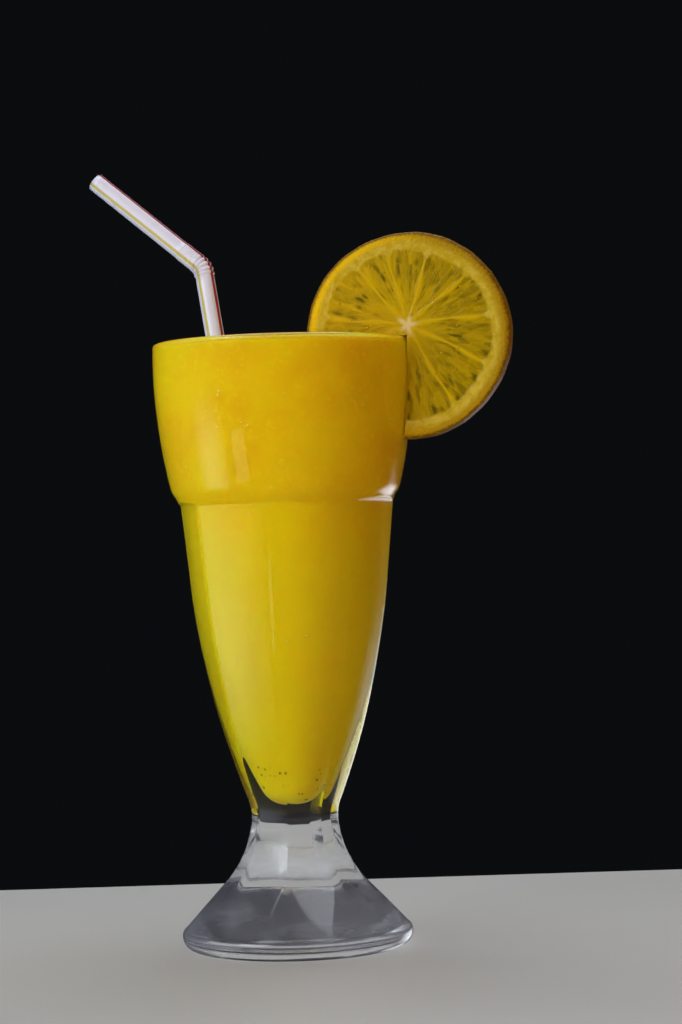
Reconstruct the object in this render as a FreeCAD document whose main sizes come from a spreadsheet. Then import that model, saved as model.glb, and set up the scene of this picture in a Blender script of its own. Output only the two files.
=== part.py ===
"""Footed soda glass of juice with a bendy straw and a citrus slice on its rim.

Millimetres and degrees.  +Z is up, the origin is the centre of the foot's resting face, and the
glass is viewed from -Y.  Every sub-part is one solid:

    glass         pressed glass with a round upper bowl and an eight-sided body and stem
    juice         drink that fills the glass to its level, cut round the straw and the slice
    straw         thin tube with a ribbed bend
    citrus_slice  round slice that is slotted on to the rim
"""
import FreeCAD, Part
import math
import os
import Sketcher

# ---------------------------------------------------------------------------- driving dimensions
SIZES = [
    # glass, outside: radii are those of the eight corners, or of the round parts
    ("glass_height", 195.0, "resting face to the top of the rim"),
    ("rim_radius", 41.9, "outside radius of the rim"),
    ("lip_band", 7.0, "height of the upright band below the top of the rim"),
    ("lip_round", 1.1, "rounding of each edge of the rim"),
    ("bowl_curve", 160.0, "radius of the curve of the upper bowl's side"),
    ("bowl_step", 2.3, "from the body's corners out to the bottom of the upper bowl"),
    ("shoulder_height", 143.0, "height at which the facets end under the upper bowl"),
    ("shoulder_rise", 5.1, "height of the step from the body to the upper bowl"),
    ("shoulder_mid_inset", 0.15, "how far the middle of the step lies inside halfway"),
    ("shoulder_low_curve", 5.1, "radius of the hollow lower half of the step"),
    ("shoulder_high_curve", 7.1, "radius of the round upper half of the step"),
    ("shoulder_radius", 34.8, "radius of the body's corners at its top"),
    ("body_mid_height", 114.5, "height at which the body's side turns straight"),
    ("body_taper", 2.9, "how far the corners have come in at that height"),
    ("body_curve", 272.0, "radius of the curve of the body's lower side"),
    ("body_low_height", 47.0, "height at which the body leaves the stem"),
    ("body_low_radius", 15.1, "radius of the corners at that height"),
    ("stem_curve", 14.8, "radius of the hollow curve from the stem into the body"),
    ("stem_height", 40.0, "height of the narrowest place"),
    ("stem_radius", 14.2, "radius of the corners at the narrowest place"),
    ("flare_curve", 33.4, "radius of the hollow curve from the stem into the foot"),
    ("flare_height", 21.2, "height at which that curve meets the foot's slope"),
    ("flare_radius", 22.7, "radius of the corners at that height"),
    ("foot_top_height", 6.6, "height of the upper edge of the foot's rim"),
    ("foot_top_inset", 1.2, "how far that edge lies inside the foot's largest radius"),
    ("foot_edge_curve", 2.4, "rounding between that edge and the largest radius"),
    ("foot_radius", 37.2, "largest radius of the foot"),
    ("foot_round", 4.2, "rounding of the foot's lower edge"),
    # facets
    ("facet_count", 8.0, "flat sides of the body and stem"),
    ("facet_turn", 13.5, "angle from +X to the middle of the first facet"),
    ("corner_half_angle", 1.0, "half of the angle that a rounded corner takes"),
    ("facet_ledge_angle", 23.0, "slope of the ledge over each facet"),
    ("facet_end_height", 8.0, "height at which the facets fade out on the foot"),
    ("facet_end_inset", 2.3, "how far inside the foot's largest radius they fade out"),
    ("flare_facet_share", 0.945, "distance of a facet from the axis as a share of the flare's radius"),
    # glass, inside
    ("rim_wall", 2.4, "wall at the rim"),
    ("bowl_wall", 2.8, "wall at the bottom of the upper bowl"),
    ("shoulder_wall", 2.5, "wall at the middle of a facet, at the top of the body"),
    ("cavity_mid_height", 96.3, "height at which the inside starts to close in"),
    ("cavity_mid_inset", 6.1, "how far the inside has come in there from the straight facets above"),
    ("cavity_mid_curve", 193.0, "radius of the inside's upper curve in the body"),
    ("cavity_low_curve", 247.0, "radius of the inside's lower curve in the body"),
    ("cavity_step_drop", 2.0, "from the facets' upper ends down to the start of the inside's step"),
    ("cavity_step_inset", 2.8, "from the top of the inside's step in to its middle"),
    ("cavity_step_rise", 1.4, "from the facets' upper ends up to the middle of the inside's step"),
    ("cavity_step_lift", 0.8, "top of the inside's step over that of the outside's"),
    ("cavity_step_low_curve", 4.6, "radius of the hollow lower half of the inside's step"),
    ("cavity_step_high_curve", 8.7, "radius of the round upper half of the inside's step"),
    ("cavity_floor", 47.8, "height of the lowest point of the inside"),
    ("cavity_floor_rise", 4.8, "height of the rounded floor"),
    ("cavity_floor_radius", 7.6, "radius at the edge of the rounded floor"),
    # fits
    ("fill_gap", 2.4, "from the juice's level up to the top of the rim"),
    ("seat_gap", 0.2, "clearance where the straw rests on the glass"),
    ("slot_gap", 0.3, "clearance of the slice's slot round the wall of the glass"),
    # straw
    ("straw_radius", 3.15, "outside radius of the straw"),
    ("straw_wall", 0.3, "wall of the straw"),
    ("straw_toe_reach", 4.4, "distance from the axis to where the straw stands on the floor"),
    ("straw_heading", 126.5, "angle from +X to the side that the straw leans to"),
    ("straw_over_rim", 26.0, "length of the leg from the rim to the bend"),
    ("straw_bend_radius", 10.0, "radius of the bend, at the straw's centre line"),
    ("straw_bend_angle", 40.0, "angle of the bend"),
    ("straw_twist", 45.0, "turn of the upper arm about the leg, from the side it leans to"),
    ("straw_arm", 45.7, "length of the arm above the bend"),
    ("rib_count", 6.0, "ribs of the bend"),
    ("rib_radius", 0.4, "half of a rib's thickness"),
    # slice
    ("slice_radius", 33.4, "radius of the slice"),
    ("slice_thickness", 6.3, "thickness of the slice"),
    ("slice_outset", 1.5, "from the middle of the rim's wall out to the slice's centre"),
    ("slice_lift", 0.2, "from the top of the rim up to the slice's centre"),
    ("slice_heading", -15.0, "angle from +X to the side of the rim that the slice hangs on"),
    ("rind_width", 5.4, "width of the rind with its pith"),
    ("rind_round", 0.8, "rounding of the rind's edges"),
    ("pulp_sink", 0.35, "depth of the pulp below the membranes on each face"),
    ("segment_count", 11.0, "segments of the slice"),
    ("membrane_width", 0.9, "width of the membrane between two segments"),
    ("core_radius", 3.0, "radius of the slice's core"),
]

doc = FreeCAD.newDocument("juice_glass")
sheet = doc.addObject("Spreadsheet::Sheet", "dims")
for row, (alias, value, note) in enumerate(SIZES, start=1):
    sheet.set("A%d" % row, note)
    sheet.set("B%d" % row, "%g" % value)
    sheet.setAlias("B%d" % row, alias)
doc.recompute()


# ---------------------------------------------------------------------------- sketches and bodies
def number(expression):
    """Value of an expression on the sheet, as a plain number."""
    value = sheet.evalExpression(expression)
    return float(getattr(value, "Value", value))


def new_body(label):
    body = doc.addObject("PartDesign::Body", label)
    body.Label = label
    return body


def origin_part(body, role):
    """One of the body's own origin planes or axes."""
    return next(item for item in body.Origin.OriginFeatures if item.Role == role)


def new_sketch(body, name, role="XZ_Plane"):
    sketch = body.newObject("Sketcher::SketchObject", name)
    sketch.AttachmentSupport = [(origin_part(body, role), "")]
    sketch.MapMode = "FlatFace"
    return sketch


def bind(sketch, constraint, expression):
    """Add a constraint and tie its value to the sheet."""
    index = sketch.addConstraint(constraint)
    sketch.setExpression("Constraints[%d]" % index, expression)


def place_point(sketch, geometry, end, across, up):
    """Hold one end of a line or arc at the two given expressions."""
    if across == "0":
        sketch.addConstraint(Sketcher.Constraint("PointOnObject", geometry, end, -2))
    else:
        bind(sketch, Sketcher.Constraint("DistanceX", -1, 1, geometry, end, number(across)), across)
    if up == "0":
        sketch.addConstraint(Sketcher.Constraint("PointOnObject", geometry, end, -1))
    else:
        bind(sketch, Sketcher.Constraint("DistanceY", -1, 1, geometry, end, number(up)), up)


def arc_between(start, end, radius, side):
    """Arc through two points; side is 1 to bulge left of the way from start to end, -1 right."""
    chord = end - start
    middle = (start + end) * 0.5
    left = FreeCAD.Vector(-chord.y, chord.x, 0) / chord.Length
    centre = middle - left * (side * math.sqrt(radius ** 2 - chord.Length ** 2 / 4))
    first, last = (end, start) if side > 0 else (start, end)
    angles = [math.atan2(point.y - centre.y, point.x - centre.x) for point in (first, last)]
    if angles[1] < angles[0]:
        angles[1] += 2 * math.pi
    circle = Part.Circle(centre, FreeCAD.Vector(0, 0, 1), radius)
    return Part.ArcOfCircle(circle, angles[0], angles[1])


def draw(sketch, corners, closed=True):
    """Draw an outline through its corners, each (across, up) or (across, up, radius, side).

    A corner with a radius is reached by an arc, any other by a straight line.
    """
    points = [FreeCAD.Vector(number(corner[0]), number(corner[1]), 0) for corner in corners]
    count = len(corners) if closed else len(corners) - 1
    ends = []
    for index in range(count):
        target = corners[(index + 1) % len(corners)]
        start = points[index]
        end = points[(index + 1) % len(points)]
        if len(target) == 2:
            geometry = sketch.addGeometry(Part.LineSegment(start, end))
            ends.append((geometry, 1, 2))
        else:
            side = target[3]
            geometry = sketch.addGeometry(arc_between(start, end, number(target[2]), side))
            bind(sketch, Sketcher.Constraint("Radius", geometry, number(target[2])), target[2])
            ends.append((geometry, 2, 1) if side > 0 else (geometry, 1, 2))
    for index in range(count if closed else count - 1):
        geometry, _, finish = ends[index]
        following, begin, _ = ends[(index + 1) % count]
        sketch.addConstraint(Sketcher.Constraint("Coincident", geometry, finish, following, begin))
    for index in range(count):
        place_point(sketch, ends[index][0], ends[index][1], corners[index][0], corners[index][1])
    if not closed:
        place_point(sketch, ends[-1][0], ends[-1][2], corners[-1][0], corners[-1][1])
    return sketch


def draw_circle(sketch, radius, across="0", up="0"):
    centre = FreeCAD.Vector(number(across), number(up), 0)
    circle = Part.Circle(centre, FreeCAD.Vector(0, 0, 1), number(radius))
    geometry = sketch.addGeometry(circle)
    bind(sketch, Sketcher.Constraint("Radius", geometry, number(radius)), radius)
    place_point(sketch, geometry, 3, across, up)
    return sketch


def add_feature(body, kind, name, profile):
    feature = body.newObject("PartDesign::" + kind, name)
    feature.Profile = profile
    body.Tip = feature
    return feature


def turn_about_axis(body, kind, name, profile):
    """Revolution or Groove of a profile, all the way round the upright axis."""
    feature = add_feature(body, kind, name, profile)
    feature.ReferenceAxis = (origin_part(body, "Z_Axis"), [""])
    feature.Angle = 360
    return feature


def pattern_about(body, name, original, axis, count):
    pattern = body.newObject("PartDesign::PolarPattern", name)
    pattern.Originals = [original]
    pattern.Axis = axis
    pattern.Angle = 360
    pattern.setExpression("Occurrences", count)
    body.Tip = pattern
    return pattern


def edges_at_height(feature, height):
    """Names of the feature's edges that lie wholly at one height."""
    level = number(height)
    return ["Edge%d" % place for place, edge in enumerate(feature.Shape.Edges, start=1)
            if abs(edge.BoundBox.ZMin - level) < 1e-6 and abs(edge.BoundBox.ZMax - level) < 1e-6]


def edges_of_radius(feature, radius):
    """Names of the feature's round edges that have the given radius."""
    wanted = number(radius)
    return ["Edge%d" % place for place, edge in enumerate(feature.Shape.Edges, start=1)
            if isinstance(edge.Curve, Part.Circle) and abs(edge.Curve.Radius - wanted) < 1e-6]


def check_cut(before, after):
    """Stop if a feature that should take material away took none."""
    doc.recompute()
    if not after.Shape.Volume < before.Shape.Volume - 1:
        raise RuntimeError(after.Name + " cuts nothing")


# ---------------------------------------------------------------------------- glass
RIM_TOP = "dims.glass_height"
RIM_INSIDE = "(dims.rim_radius - dims.rim_wall)"
FACET_SHARE = "cos(180 / dims.facet_count - dims.corner_half_angle)"
SHOULDER_MIDDLE = "(dims.shoulder_height + dims.shoulder_rise / 2)"
SHOULDER_TOP = "(dims.shoulder_height + dims.shoulder_rise)"
BODY_MIDDLE = "(dims.shoulder_radius - dims.body_taper)"
BODY_INSIDE = "(dims.shoulder_radius * " + FACET_SHARE + " - dims.shoulder_wall)"
BODY_INSIDE_TOP = "(dims.shoulder_height - dims.cavity_step_drop)"
BOWL_OUTSIDE = "(dims.shoulder_radius + dims.bowl_step)"
BOWL_INSIDE = "(" + BOWL_OUTSIDE + " - dims.bowl_wall)"
BOWL_INSIDE_START = "(" + SHOULDER_TOP + " + dims.cavity_step_lift)"
FLOOR_CURVE = ("((dims.cavity_floor_radius ^ 2 + dims.cavity_floor_rise ^ 2)"
               " / (2 * dims.cavity_floor_rise))")


def draw_outside(sketch):
    """Half of the outside, from the middle of the foot out, up to the rim and back in."""
    draw(sketch, [
        ("0", "0"),
        ("dims.foot_radius - dims.foot_round", "0"),
        ("dims.foot_radius", "dims.foot_round", "dims.foot_round", -1),
        ("dims.foot_radius - dims.foot_top_inset", "dims.foot_top_height", "dims.foot_edge_curve", -1),
        ("dims.flare_radius", "dims.flare_height"),
        ("dims.stem_radius", "dims.stem_height", "dims.flare_curve", 1),
        ("dims.body_low_radius", "dims.body_low_height", "dims.stem_curve", 1),
        (BODY_MIDDLE, "dims.body_mid_height", "dims.body_curve", -1),
        ("dims.shoulder_radius", "dims.shoulder_height"),
        ("dims.shoulder_radius + dims.bowl_step / 2 - dims.shoulder_mid_inset", SHOULDER_MIDDLE,
         "dims.shoulder_low_curve", 1),
        (BOWL_OUTSIDE, SHOULDER_TOP, "dims.shoulder_high_curve", -1),
        ("dims.rim_radius", RIM_TOP + " - dims.lip_band", "dims.bowl_curve", -1),
        ("dims.rim_radius", RIM_TOP),
        ("0", RIM_TOP),
    ])


def draw_facet(sketch):
    """What one flat side takes away, seen along that side."""
    past_foot = "(dims.rim_radius + dims.foot_radius)"
    top_reach = "dims.shoulder_radius * " + FACET_SHARE
    draw(sketch, [
        ("dims.foot_radius - dims.facet_end_inset", "dims.facet_end_height"),
        ("dims.flare_radius * dims.flare_facet_share", "dims.flare_height"),
        ("dims.stem_radius * " + FACET_SHARE, "dims.stem_height",
         "dims.flare_curve / " + FACET_SHARE, 1),
        ("dims.body_low_radius * " + FACET_SHARE, "dims.body_low_height",
         "dims.stem_curve / " + FACET_SHARE, 1),
        (BODY_MIDDLE + " * " + FACET_SHARE, "dims.body_mid_height",
         "dims.body_curve / " + FACET_SHARE, -1),
        (top_reach, "dims.shoulder_height"),
        (past_foot, "dims.shoulder_height + (" + past_foot + " - " + top_reach
         + ") * tan(dims.facet_ledge_angle)"),
        (past_foot, "dims.facet_end_height"),
    ])


def draw_inside(sketch, top):
    """Half of the inside up to the given height: the cavity, and the juice that fills it."""
    draw(sketch, [
        ("0", "dims.cavity_floor"),
        ("dims.cavity_floor_radius", "dims.cavity_floor + dims.cavity_floor_rise", FLOOR_CURVE, -1),
        (BODY_MIDDLE + " * " + FACET_SHARE + " - dims.cavity_mid_inset", "dims.cavity_mid_height",
         "dims.cavity_low_curve", -1),
        (BODY_INSIDE, BODY_INSIDE_TOP, "dims.cavity_mid_curve", -1),
        (BOWL_INSIDE + " - dims.cavity_step_inset", "dims.shoulder_height + dims.cavity_step_rise",
         "dims.cavity_step_low_curve", 1),
        (BOWL_INSIDE, BOWL_INSIDE_START, "dims.cavity_step_high_curve", -1),
        (RIM_INSIDE, RIM_TOP + " - dims.lip_band", "dims.bowl_curve", -1),
        (RIM_INSIDE, top),
        ("0", top),
    ])


glass = new_body("glass")
outside = new_sketch(glass, "outside_outline")
draw_outside(outside)
blank = turn_about_axis(glass, "Revolution", "pressed_blank", outside)

facet_outline = new_sketch(glass, "facet_outline")
draw_facet(facet_outline)
facet = add_feature(glass, "Pocket", "facet", facet_outline)
facet.Type = "ThroughAll"
facet.SideType = "Symmetric"
check_cut(blank, facet)

facets = pattern_about(glass, "facets", facet, (origin_part(glass, "Z_Axis"), [""]), "dims.facet_count")
check_cut(facet, facets)

cavity_outline = new_sketch(glass, "cavity_outline")
draw_inside(cavity_outline, RIM_TOP)
cavity = turn_about_axis(glass, "Groove", "cavity", cavity_outline)
check_cut(facets, cavity)

lip = glass.newObject("PartDesign::Fillet", "lip")
lip.Base = (cavity, edges_at_height(cavity, RIM_TOP))
lip.setExpression("Radius", "dims.lip_round")
glass.Tip = lip
check_cut(cavity, lip)
glass.setExpression("Placement", "placement(vector(0; 0; 0); rotationz(dims.facet_turn))")


# ---------------------------------------------------------------------------- straw
# The lower end stands on the rounded floor, on the side that the straw leans to, and the leg
# rests on the inner edge of the rim, or on the top of the body's inside where that is nearer.
TOE_HEIGHT = ("(dims.cavity_floor + " + FLOOR_CURVE + " - sqrt((" + FLOOR_CURVE
              + " - dims.seat_gap) ^ 2 - dims.straw_toe_reach ^ 2))")


def rest_length(radius, height):
    """From the toe to a point of the inside at the given radius and height."""
    return ("sqrt((" + radius + " - dims.straw_toe_reach) ^ 2 + ("
            + height + " - " + TOE_HEIGHT + ") ^ 2)")


def lean_to(radius, height):
    """Angle from upright at which the leg just clears that point."""
    return ("(atan2(" + radius + " - dims.straw_toe_reach; " + height + " - " + TOE_HEIGHT
            + ") - asin(dims.seat_gap / " + rest_length(radius, height) + "))")


REST_HEIGHT = "(" + RIM_TOP + " - dims.lip_round)"
LEAN = "min(" + lean_to(RIM_INSIDE, REST_HEIGHT) + "; " + lean_to(BODY_INSIDE, BODY_INSIDE_TOP) + ")"
LEG = "(" + rest_length(RIM_INSIDE, REST_HEIGHT) + " + dims.straw_over_rim)"
TOE_MIDDLE = "(dims.straw_toe_reach - dims.straw_radius * cos(" + LEAN + "))"
TOE_MIDDLE_HEIGHT = "(" + TOE_HEIGHT + " + dims.straw_radius * sin(" + LEAN + "))"
BEND_OUT = "dims.straw_bend_radius * (1 - cos(dims.straw_bend_angle))"
BEND_UP = LEG + " + dims.straw_bend_radius * sin(dims.straw_bend_angle)"

straw = new_body("straw")
route = new_sketch(straw, "centre_line")
draw(route, [
    ("0", "0"),
    ("0", LEG),
    (BEND_OUT, BEND_UP, "dims.straw_bend_radius", 1),
    (BEND_OUT + " + dims.straw_arm * sin(dims.straw_bend_angle)",
     BEND_UP + " + dims.straw_arm * cos(dims.straw_bend_angle)"),
], closed=False)


def pipe_along_route(kind, name, radius):
    section = draw_circle(new_sketch(straw, name + "_section", "XY_Plane"), radius)
    pipe = add_feature(straw, kind, name, section)
    pipe.Spine = (route, ["Edge1", "Edge2", "Edge3"])
    return pipe


pipe_along_route("AdditivePipe", "rod", "dims.straw_radius")
for index in range(int(number("dims.rib_count"))):
    turn = "dims.straw_bend_angle * %g / dims.rib_count" % (index + 0.5)
    rib = straw.newObject("PartDesign::AdditiveTorus", "rib_%d" % (index + 1))
    rib.AttachmentSupport = [(origin_part(straw, "XY_Plane"), "")]
    rib.MapMode = "FlatFace"
    rib.setExpression("Radius1", "dims.straw_radius")
    rib.setExpression("Radius2", "dims.rib_radius")
    rib.setExpression("AttachmentOffset", "placement(vector("
                      "dims.straw_bend_radius * (1 - cos(" + turn + ")); 0; "
                      + LEG + " + dims.straw_bend_radius * sin(" + turn + ")); "
                      "rotationy(" + turn + "))")
    straw.Tip = rib
bore = pipe_along_route("SubtractivePipe", "bore", "dims.straw_radius - dims.straw_wall")
check_cut(rib, bore)
straw.setExpression(
    "Placement", "placement(vector(" + TOE_MIDDLE + " * cos(dims.straw_heading); "
    + TOE_MIDDLE + " * sin(dims.straw_heading); " + TOE_MIDDLE_HEIGHT + "); "
    "rotationz(dims.straw_heading) * rotationy(" + LEAN + ") * rotationz(dims.straw_twist))")


# ---------------------------------------------------------------------------- citrus slice
# Drawn upright in its own XZ plane, where X runs out from the axis of the glass.
SLICE_ACROSS = "(dims.rim_radius - dims.rim_wall / 2 + dims.slice_outset)"
SLICE_UP = "(" + RIM_TOP + " + dims.slice_lift)"

citrus = new_body("citrus_slice")


def pad_both_ways(name, sketch, thickness):
    pad = add_feature(citrus, "Pad", name, sketch)
    pad.SideType = "Symmetric"
    pad.setExpression("Length", thickness)
    return pad


flesh_circle = draw_circle(new_sketch(citrus, "flesh_circle"), "dims.slice_radius - dims.rind_width / 2",
                           SLICE_ACROSS, SLICE_UP)
flesh = pad_both_ways("flesh", flesh_circle, "dims.slice_thickness - 2 * dims.pulp_sink")

rind_ring = new_sketch(citrus, "rind_ring")
draw_circle(rind_ring, "dims.slice_radius", SLICE_ACROSS, SLICE_UP)
draw_circle(rind_ring, "dims.slice_radius - dims.rind_width", SLICE_ACROSS, SLICE_UP)
rind = pad_both_ways("rind", rind_ring, "dims.slice_thickness")

core_circle = draw_circle(new_sketch(citrus, "core_circle"), "dims.core_radius", SLICE_ACROSS, SLICE_UP)
core = pad_both_ways("core", core_circle, "dims.slice_thickness")

spoke_outline = new_sketch(citrus, "membrane_outline")
spoke_outline.setExpression(
    "AttachmentOffset", "placement(vector(" + SLICE_ACROSS + "; " + SLICE_UP + "; 0); rotationz(0))")
SPOKE_END = "dims.slice_radius - dims.rind_width / 2"
draw(spoke_outline, [
    ("dims.core_radius / 2", "-dims.membrane_width / 2"),
    (SPOKE_END, "-dims.membrane_width / 2"),
    (SPOKE_END, "dims.membrane_width / 2"),
    ("dims.core_radius / 2", "dims.membrane_width / 2"),
])
membrane = pad_both_ways("membrane", spoke_outline, "dims.slice_thickness")
membranes = pattern_about(citrus, "membranes", membrane, (spoke_outline, ["N_Axis"]), "dims.segment_count")

edge = citrus.newObject("PartDesign::Fillet", "rind_edge")
doc.recompute()
edge.Base = (membranes, edges_of_radius(membranes, "dims.slice_radius"))
edge.setExpression("Radius", "dims.rind_round")
citrus.Tip = edge
check_cut(membranes, edge)

# The slot runs from the lower edge up to the rim and takes the shape of the wall it straddles.
slot_outline = new_sketch(citrus, "slot_outline")
draw(slot_outline, [
    (RIM_INSIDE + " - dims.slot_gap", RIM_TOP + " + dims.slot_gap"),
    (RIM_INSIDE + " - dims.slot_gap", RIM_TOP + " - dims.lip_band"),
    (BOWL_INSIDE + " - dims.slot_gap", BOWL_INSIDE_START, "dims.bowl_curve", 1),
    (BOWL_OUTSIDE + " + dims.slot_gap", SHOULDER_TOP),
    ("dims.rim_radius + dims.slot_gap", RIM_TOP + " - dims.lip_band", "dims.bowl_curve", -1),
    ("dims.rim_radius + dims.slot_gap", RIM_TOP + " + dims.slot_gap"),
])
slot = add_feature(citrus, "Pocket", "slot", slot_outline)
slot.Type = "ThroughAll"
slot.SideType = "Symmetric"
check_cut(edge, slot)
citrus.setExpression("Placement", "placement(vector(0; 0; 0); rotationz(dims.slice_heading))")


# ---------------------------------------------------------------------------- juice
# It fills the cavity to its level and is cut round the straw's wall and the slice.
fill = new_body("fill")
fill_outline = new_sketch(fill, "fill_outline")
draw_inside(fill_outline, RIM_TOP + " - dims.fill_gap")
turn_about_axis(fill, "Revolution", "full_cavity", fill_outline)

fill_round_straw = doc.addObject("Part::Cut", "fill_round_straw")
fill_round_straw.Base = fill
fill_round_straw.Tool = straw
juice = doc.addObject("Part::Cut", "juice")
juice.Label = "juice"
juice.Base = fill_round_straw
juice.Tool = citrus
doc.recompute()


# ---------------------------------------------------------------------------- checks and export
for item in doc.Objects:
    if "Invalid" in item.State or "Error" in item.State:
        raise RuntimeError(item.Name + " failed: " + str(item.State))

os.makedirs("parts", exist_ok=True)
sub_parts = [glass, juice, straw, citrus]
for sub_part in sub_parts:
    shape = sub_part.Shape
    if shape.isNull() or not shape.isValid() or len(shape.Solids) != 1:
        raise RuntimeError(sub_part.Label + " is not one good solid")
for sub_part in sub_parts:
    sub_part.Shape.exportStep(os.path.join("parts", sub_part.Label + ".step"))
    print("%s %.1f cubic mm" % (sub_part.Label, sub_part.Shape.Volume))
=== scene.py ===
"""A footed soda glass of juice with a bendy straw and a slice of citrus on its rim.

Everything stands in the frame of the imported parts: metres, +Z up, seen from -Y.  The sizes of the
pieces are given in millimetres and turned into metres where a mesh is made.
"""
import math

import bpy
import numpy as np
from mathutils import Matrix, Vector


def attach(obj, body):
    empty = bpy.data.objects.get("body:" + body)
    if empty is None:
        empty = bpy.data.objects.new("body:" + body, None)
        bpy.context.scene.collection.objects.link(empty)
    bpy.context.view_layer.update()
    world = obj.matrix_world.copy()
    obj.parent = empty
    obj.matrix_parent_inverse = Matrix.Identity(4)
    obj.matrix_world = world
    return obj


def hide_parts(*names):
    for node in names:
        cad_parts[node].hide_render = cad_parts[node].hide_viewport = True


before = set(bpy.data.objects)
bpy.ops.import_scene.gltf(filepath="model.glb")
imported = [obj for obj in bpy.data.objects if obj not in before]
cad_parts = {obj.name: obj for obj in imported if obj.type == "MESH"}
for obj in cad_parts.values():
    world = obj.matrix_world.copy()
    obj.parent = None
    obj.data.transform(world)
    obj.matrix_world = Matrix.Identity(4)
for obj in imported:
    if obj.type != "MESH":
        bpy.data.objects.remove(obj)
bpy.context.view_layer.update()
MM = 0.001

# ------------------------------------------------------------------------------------ studio
# A plain pale board as table top in a dark plain room.  Large soft lamps light it from the left in
# front, weakly from the right and from behind.  The lamps that the glass mirrors are apart from
# them, so that reflections stay faint and soft.
BOARD_HALF_WIDTH = 230.0
BOARD_FRONT = -300.0
BOARD_BACK = 165.0
BOARD_CORNER = 70.0
BOARD_ROUND = 4.0
BOARD_THICKNESS = 18.0
BOARD_GAP = 0.15
CORNER_PIECES = 16
ROUND_PIECES = 8
BOARD_PALE = (212, 209, 204)
BOARD_DARK = (204, 201, 196)
LAMP_AIM = (0, 0, 0.12)
DAYLIGHT = (0.91, 0.975, 1.05)
WARM = (1.0, 0.59, 0.40)
ROOM_TONE = (0.0035, 0.0038, 0.0046, 1)
# Name, place in metres, width and height, brightness, tint, ways in which it acts, soft edge.
LAMPS = [
    ("key", (-1.05, -0.95, 0.34), (0.9, 1.0), 5.2, DAYLIGHT, ("diffuse",), 0.0),
    ("fill", (0.85, -1.35, 0.22), (1.4, 1.2), 2.2, WARM, ("diffuse",), 0.0),
    ("back_fill", (0.6, 1.3, 0.7), (0.9, 0.9), 1.5, DAYLIGHT, ("diffuse",), 0.0),
    ("window_left", (-1.22, -0.34, -0.26), (0.95, 0.95), 1.1, DAYLIGHT, ("glossy",), 0.45),
    ("window_pane", (-0.874, -0.917, -0.25), (0.32, 0.3), 0.5, DAYLIGHT, ("glossy",), 0.12),
    ("window_high", (-0.90, -0.72, 0.85), (0.9, 0.85), 4.2, DAYLIGHT, ("glossy",), 0.2),
    ("edge_panel", (0.55, 0.71, -0.20), (0.72, 0.55), 3.0, DAYLIGHT, ("glossy",), 0.4),
    ("left_wall", (-1.3, 0.05, 0.02), (1.2, 2.0), 1.6, DAYLIGHT, ("transmission",), 0.2),
    ("overhead", (0.0, 0.25, 1.5), (1.2, 1.0), 2.9, DAYLIGHT, ("diffuse", "glossy"), 0.0)]


def plain_object(name, vertices, faces, smooth=True):
    """Mesh object from vertices in millimetres."""
    mesh = bpy.data.meshes.new(name)
    mesh.from_pydata([tuple(v) for v in np.asarray(vertices) * MM], [], [tuple(f) for f in faces])
    mesh.polygons.foreach_set("use_smooth", [smooth] * len(mesh.polygons))
    mesh.validate()
    mesh.update()
    piece = bpy.data.objects.new(name, mesh)
    bpy.context.scene.collection.objects.link(piece)
    return piece


def linear(red, green, blue):
    """Linear colour, with full cover, of a swatch given in 0 to 255, by the usual screen curve."""
    shares = np.array([red, green, blue]) / 255
    low = shares / 12.92
    high = ((shares + 0.055) / 1.055) ** 2.4
    return (*np.where(shares <= 0.04045, low, high).tolist(), 1.0)


class Signal:
    """One output of a material's nodes; arithmetic on it adds Math nodes to the same tree."""

    def __init__(self, tree, socket=None):
        self.tree = tree
        self.socket = socket

    def node(self, kind, settings=None, sockets=None, output=0):
        """Add a node, make its settings, then feed its sockets, and return one of its outputs."""
        node = self.tree.nodes.new(kind)
        for name, value in (settings or {}).items():
            setattr(node, name, value)
        for name, value in (sockets or {}).items():
            if isinstance(value, Signal):
                self.tree.links.new(value.socket, node.inputs[name])
            else:
                node.inputs[name].default_value = value
        return Signal(self.tree, node.outputs[output] if node.outputs else None)

    def math(self, operation, first, second):
        return self.node("ShaderNodeMath", {"operation": operation}, {0: first, 1: second})

    def __add__(self, other):
        return self.math("ADD", self, other)

    def __radd__(self, other):
        return self.math("ADD", other, self)

    def __sub__(self, other):
        return self.math("SUBTRACT", self, other)

    def __rsub__(self, other):
        return self.math("SUBTRACT", other, self)

    def __mul__(self, other):
        return self.math("MULTIPLY", self, other)

    def __rmul__(self, other):
        return self.math("MULTIPLY", other, self)

    def rise(self, low, high):
        """0 below low, 1 above high and a smooth rise between them."""
        return self.node("ShaderNodeMapRange", {"interpolation_type": "SMOOTHSTEP"},
                         {"Value": self, "From Min": low, "From Max": high})

    def blend(self, first, second):
        """Colour that goes from first to second as this signal goes from 0 to 1."""
        return self.node("ShaderNodeMix", {"data_type": "RGBA"}, {0: self, 6: first, 7: second}, 2)

    def noise(self, scale, detail=3.0, roughness=0.5):
        """Cloudy pattern over this position, with scale features to the metre."""
        return self.node("ShaderNodeTexNoise", None,
                         {"Vector": self, "Scale": scale, "Detail": detail, "Roughness": roughness})


def new_finish(name):
    """An empty material, and the object's own coordinates in metres to build its nodes from."""
    finish = bpy.data.materials.new(name)
    finish.use_nodes = True
    finish.node_tree.nodes.clear()
    return finish, Signal(finish.node_tree).node("ShaderNodeTexCoord", output=3)


def show(surface):
    surface.node("ShaderNodeOutputMaterial", None, {"Surface": surface})


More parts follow.
